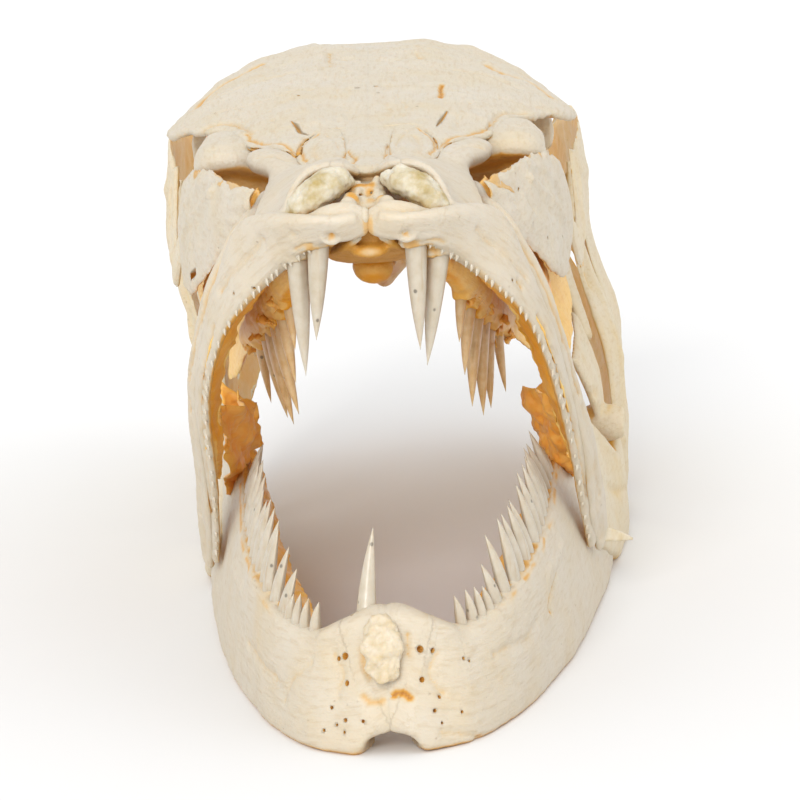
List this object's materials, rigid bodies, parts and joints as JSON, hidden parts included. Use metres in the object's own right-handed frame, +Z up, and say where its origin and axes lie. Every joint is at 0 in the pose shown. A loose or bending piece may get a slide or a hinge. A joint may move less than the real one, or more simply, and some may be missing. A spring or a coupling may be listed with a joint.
{
  "type": "great barracuda skull",
  "caption": "Dried skull of a great barracuda with gaping toothed jaws, cheek and gill cover bones, resting on its lower jaw as a still display piece.",
  "frame": {"origin": "on the floor, at the middle of the skull's bounding box", "axes": "+Z up, -Y the way the snout faces, +X the animal's left side"},
  "size_m": [0.082, 0.2363, 0.0838],
  "materials": {
    "bleached_bone": "sun-bleached pale bone, matt to satin",
    "cream_bone": "cream bone with some grease left in it, satin",
    "amber_bone": "thin amber bone stained by dried tissue",
    "dried_cartilage": "dried yellow-green cartilage, matt"
  },
  "bodies": {
    "root": {"articular_left": "cream_bone", "articular_right": "cream_bone", "braincase": "cream_bone", "dentary_left": "bleached_bone", "dentary_right": "bleached_bone", "frontal_left": "bleached_bone", "frontal_right": "bleached_bone", "hyomandibular_left": "cream_bone", "hyomandibular_right": "cream_bone", "infraorbital_left": "bleached_bone", "infraorbital_right": "bleached_bone", "interopercle_left": "cream_bone", "interopercle_right": "cream_bone", "lachrymal_left": "bleached_bone", "lachrymal_right": "bleached_bone", "lateral_ethmoid_left": "cream_bone", "lateral_ethmoid_right": "cream_bone", "maxilla_left": "bleached_bone", "maxilla_right": "bleached_bone", "mesethmoid": "bleached_bone", "metapterygoid_left": "cream_bone", "metapterygoid_right": "cream_bone", "nasal_left": "bleached_bone", "nasal_right": "bleached_bone", "opercle_left": "cream_bone", "opercle_right": "cream_bone", "palatine_left": "amber_bone", "palatine_right": "amber_bone", "parasphenoid": "amber_bone", "premaxilla_left": "bleached_bone", "premaxilla_right": "bleached_bone", "preopercle_left": "cream_bone", "preopercle_right": "cream_bone", "pterygoid_left": "amber_bone", "pterygoid_right": "amber_bone", "quadrate_left": "cream_bone", "quadrate_right": "cream_bone", "rostral_cartilage_left": "dried_cartilage", "rostral_cartilage_right": "dried_cartilage", "subopercle_left": "cream_bone", "subopercle_right": "cream_bone", "symphysis_cartilage": "dried_cartilage"}
  },
  "joints": []
}
